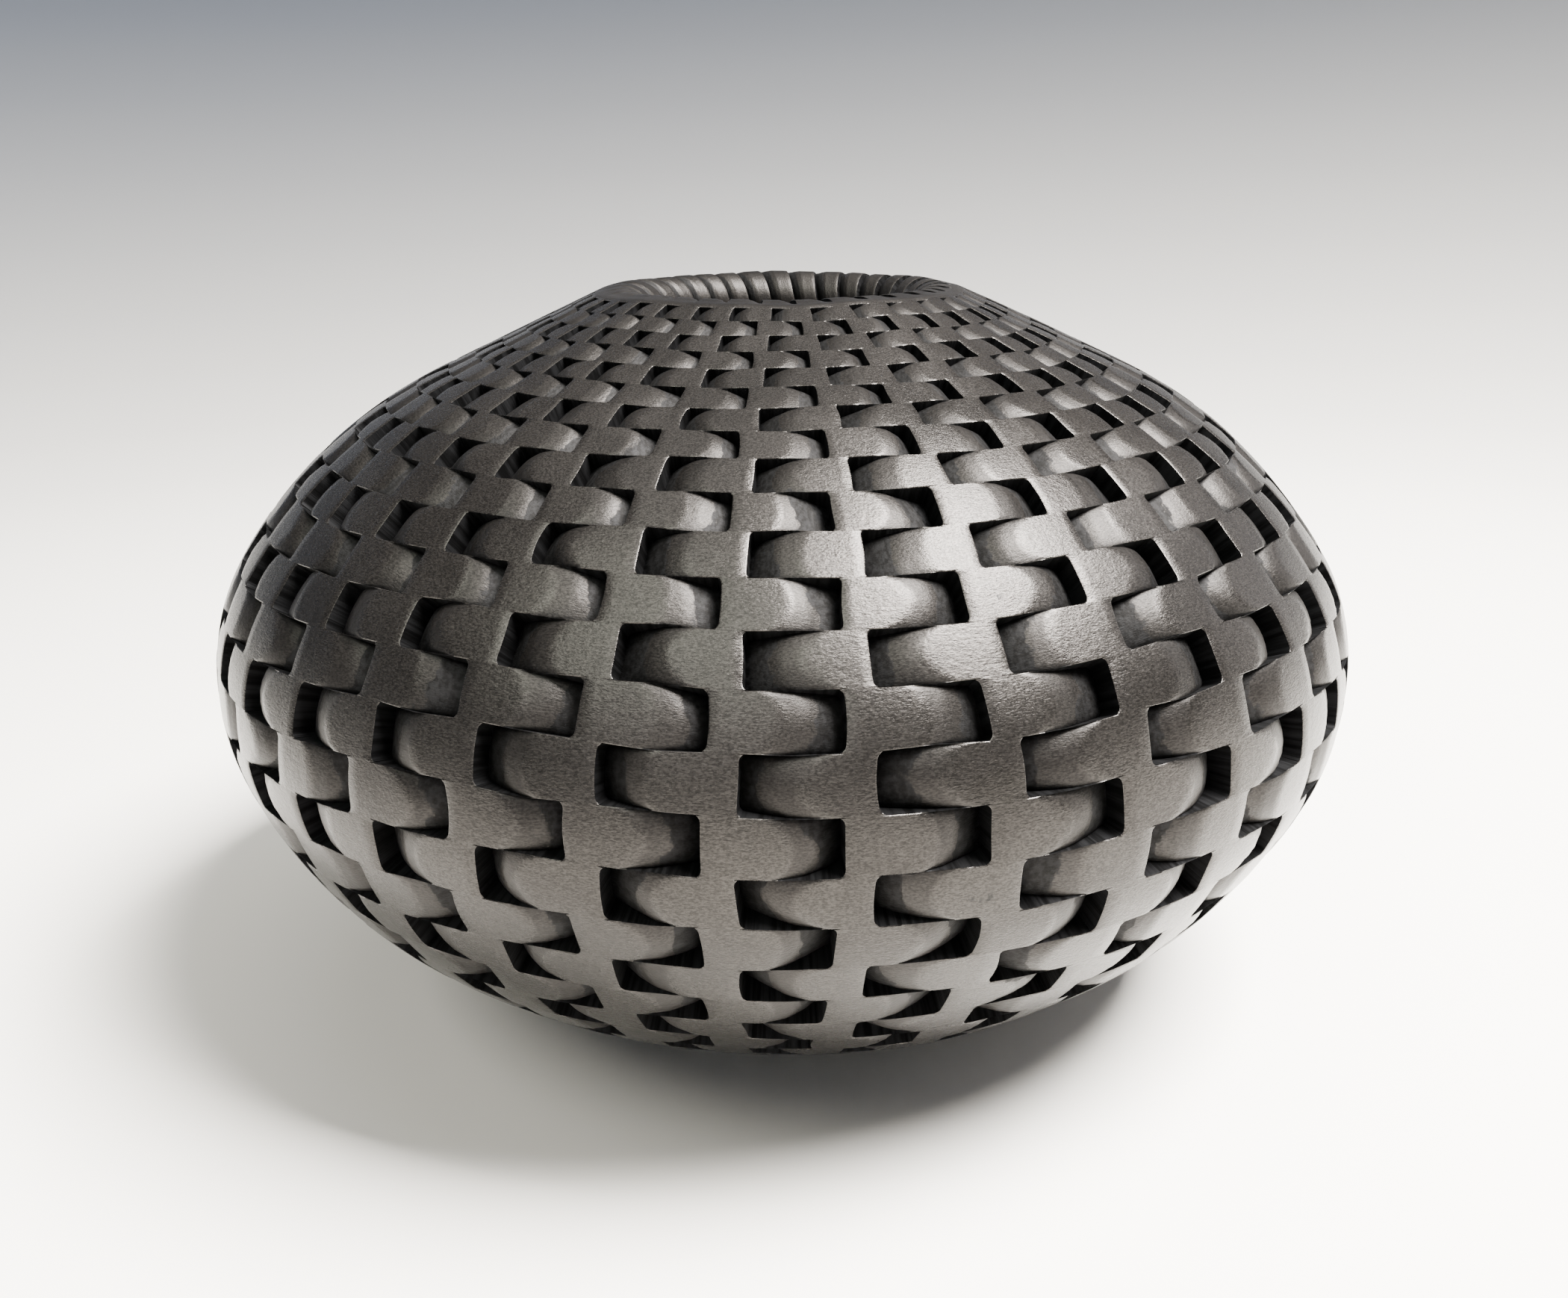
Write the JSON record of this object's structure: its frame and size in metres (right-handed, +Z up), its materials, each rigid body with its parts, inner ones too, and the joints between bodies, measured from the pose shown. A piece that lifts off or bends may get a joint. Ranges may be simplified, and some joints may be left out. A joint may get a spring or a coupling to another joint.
{
  "type": "carved black clay pot",
  "caption": "Squat round pot with a small rolled mouth, its black burnished wall carved all over in a basket-weave relief.",
  "frame": {"origin": "middle of the foot, on the surface that the pot stands on", "axes": "+Z up along the pot's axis; -Y is the side seen from the front"},
  "size_m": [0.2536, 0.2536, 0.1573],
  "materials": {
    "burnished_clay": "black reduction-fired clay, burnished to a graphite-like satin sheen outside, matte in the carved pockets",
    "bare_clay": "black reduction-fired clay, smoothed but not burnished, matte"
  },
  "bodies": {
    "root": {"foot_ring": "bare_clay", "floor_slab": "bare_clay", "lower_bowl_coil": "burnished_clay", "upper_bowl_coil": "burnished_clay", "lower_belly_coil": "burnished_clay", "upper_belly_coil": "burnished_clay", "lower_shoulder_coil": "burnished_clay", "upper_shoulder_coil": "burnished_clay", "neck_coil": "burnished_clay", "lip_coil": "burnished_clay"}
  },
  "joints": []
}
